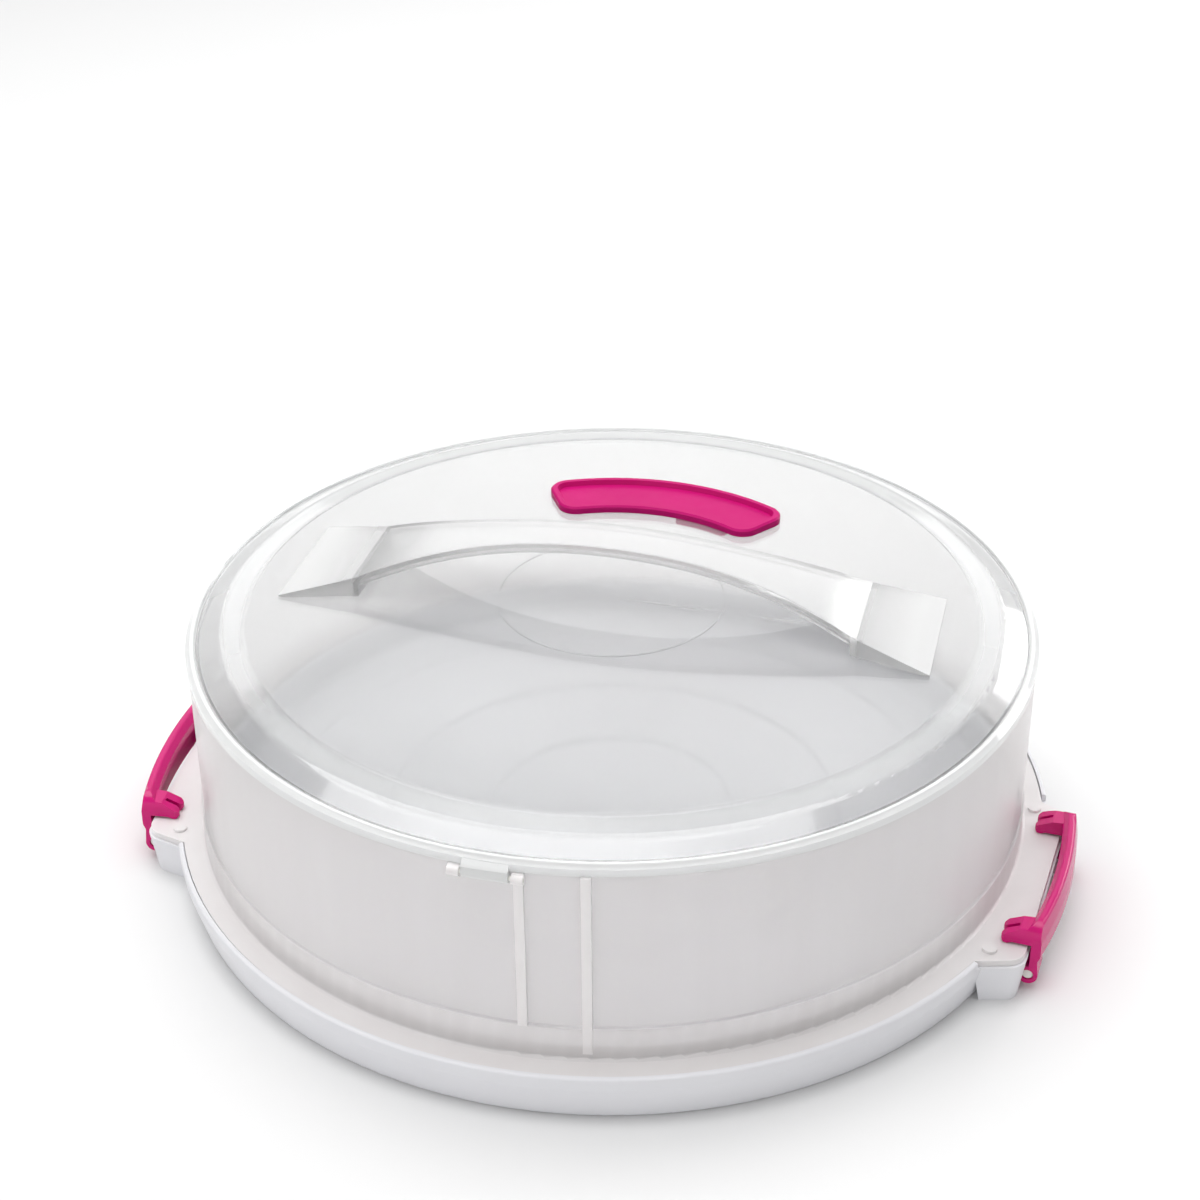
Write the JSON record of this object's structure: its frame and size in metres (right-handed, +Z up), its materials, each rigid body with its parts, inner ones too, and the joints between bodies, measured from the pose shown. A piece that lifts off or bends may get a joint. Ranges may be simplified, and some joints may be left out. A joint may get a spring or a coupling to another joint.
{
  "type": "cake carrier",
  "caption": "Round cake carrier: white base tray with latched side ears, frosted cover ring and a hinged clear lid with an arched carry handle.",
  "frame": {"origin": "centre of the base tray at the level of its standing ring", "axes": "+Z up, +X to the right latch along the carry handle, +Y to the finger grip at the rear, -Y to the lid hinge"},
  "size_m": [0.3418, 0.3212, 0.1235],
  "materials": {
    "white_polypropylene": "semi-gloss moulded polypropylene",
    "white_acetal": "smooth",
    "frosted_polypropylene": "translucent, finely frosted",
    "clear_styrene": "clear, polished",
    "magenta_polypropylene": "semi-gloss moulded polypropylene"
  },
  "bodies": {
    "carrier": {"base_tray": "white_polypropylene", "latch_pin_right": "white_acetal", "latch_pin_left": "white_acetal", "cover_wall": "frosted_polypropylene", "lid_hinge_pin": "white_acetal"},
    "lid": {"lid_panel": "clear_styrene", "carry_handle": "clear_styrene", "lid_grip": "magenta_polypropylene", "grip_clip": "magenta_polypropylene"},
    "right_latch": {"latch_right": "magenta_polypropylene"},
    "left_latch": {"latch_left": "magenta_polypropylene"}
  },
  "joints": [
    {"name": "lid_hinge", "type": "hinge", "parent": "carrier", "child": "lid", "pos_m": [-0.0021, -0.1509, 0.0876], "axis": [1, 0, 0], "range_deg": [0, 100]},
    {"name": "right_latch_hinge", "type": "hinge", "parent": "carrier", "child": "right_latch", "pos_m": [0.16272, -0.0233, 0.0064], "axis": [0.0958, 0.9954, 0], "range_deg": [0, 70]},
    {"name": "left_latch_hinge", "type": "hinge", "parent": "carrier", "child": "left_latch", "pos_m": [-0.16272, -0.0233, 0.0064], "axis": [0.0958, -0.9954, 0], "range_deg": [0, 70]}
  ]
}
